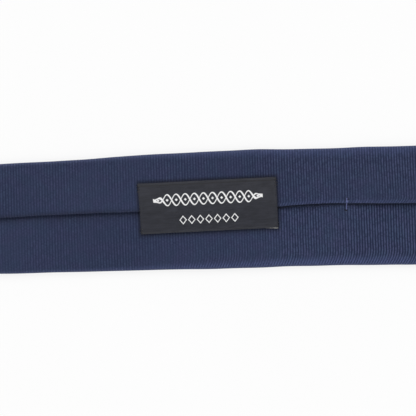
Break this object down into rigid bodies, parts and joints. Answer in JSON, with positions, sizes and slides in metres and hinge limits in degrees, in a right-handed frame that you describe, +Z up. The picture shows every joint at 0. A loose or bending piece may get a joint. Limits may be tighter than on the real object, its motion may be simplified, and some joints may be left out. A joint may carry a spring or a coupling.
{
  "type": "necktie",
  "caption": "Slim navy ribbed-silk necktie laid on its front: back seam, bar tacks and black keeper label up; folds in four.",
  "frame": {"origin": "on the surface the tie lies on, halfway along the laid-out tie and on its centre line", "axes": "+X along the tie towards the point of the blade, +Y across it, +Z up out of its back"},
  "size_m": [1.46, 0.058, 0.0038],
  "materials": {
    "silk": "fine ribbed satin, semi-matt",
    "interlining": "brushed wool blend",
    "tipping": "smooth satin lining",
    "label_cloth": "woven satin",
    "care_cloth": "woven taffeta",
    "seam_thread": "sewing thread",
    "tack_thread": "twisted silk thread"
  },
  "bodies": {
    "blade_quarter": {"blade_silk_lower": "silk", "interlining_blade": "interlining", "blade_tipping": "tipping", "slip_stitch_blade": "seam_thread", "blade_bar_tack": "tack_thread", "label_hems": "label_cloth", "label_corner_tacks": "seam_thread"},
    "upper_blade_quarter": {"blade_silk_upper": "silk", "neck_silk_blade_side": "silk", "blade_neck_seam": "seam_thread", "interlining_upper_blade": "interlining", "slip_stitch_upper_blade": "seam_thread"},
    "neck_quarter": {"neck_silk_tail_side": "silk", "tail_silk_upper": "silk", "neck_tail_seam": "seam_thread", "interlining_neck": "interlining", "slip_stitch_neck": "seam_thread"},
    "tail_quarter": {"tail_silk_lower": "silk", "interlining_tail": "interlining", "tail_tipping": "tipping", "slip_stitch_tail": "seam_thread", "tail_bar_tack": "tack_thread", "care_label": "care_cloth", "care_label_stitches": "seam_thread"},
    "label_middle": {"keeper_label": "label_cloth"}
  },
  "joints": [
    {"name": "blade_fold", "type": "hinge", "parent": "blade_quarter", "child": "upper_blade_quarter", "pos_m": [0.365, 0, 0.0098], "axis": [0, 1, 0], "range_deg": [0, 179.99]},
    {"name": "neck_fold", "type": "hinge", "parent": "upper_blade_quarter", "child": "neck_quarter", "pos_m": [0, 0, 0.0058], "axis": [0, 1, 0], "range_deg": [0, 179.99]},
    {"name": "tail_fold", "type": "hinge", "parent": "neck_quarter", "child": "tail_quarter", "pos_m": [-0.365, 0, 0.0038], "axis": [0, 1, 0], "range_deg": [0, 179.99]},
    {"name": "label_lift", "type": "slide", "parent": "blade_quarter", "child": "label_middle", "axis": [0, 0, 1], "range_m": [0, 0.0032]}
  ]
}
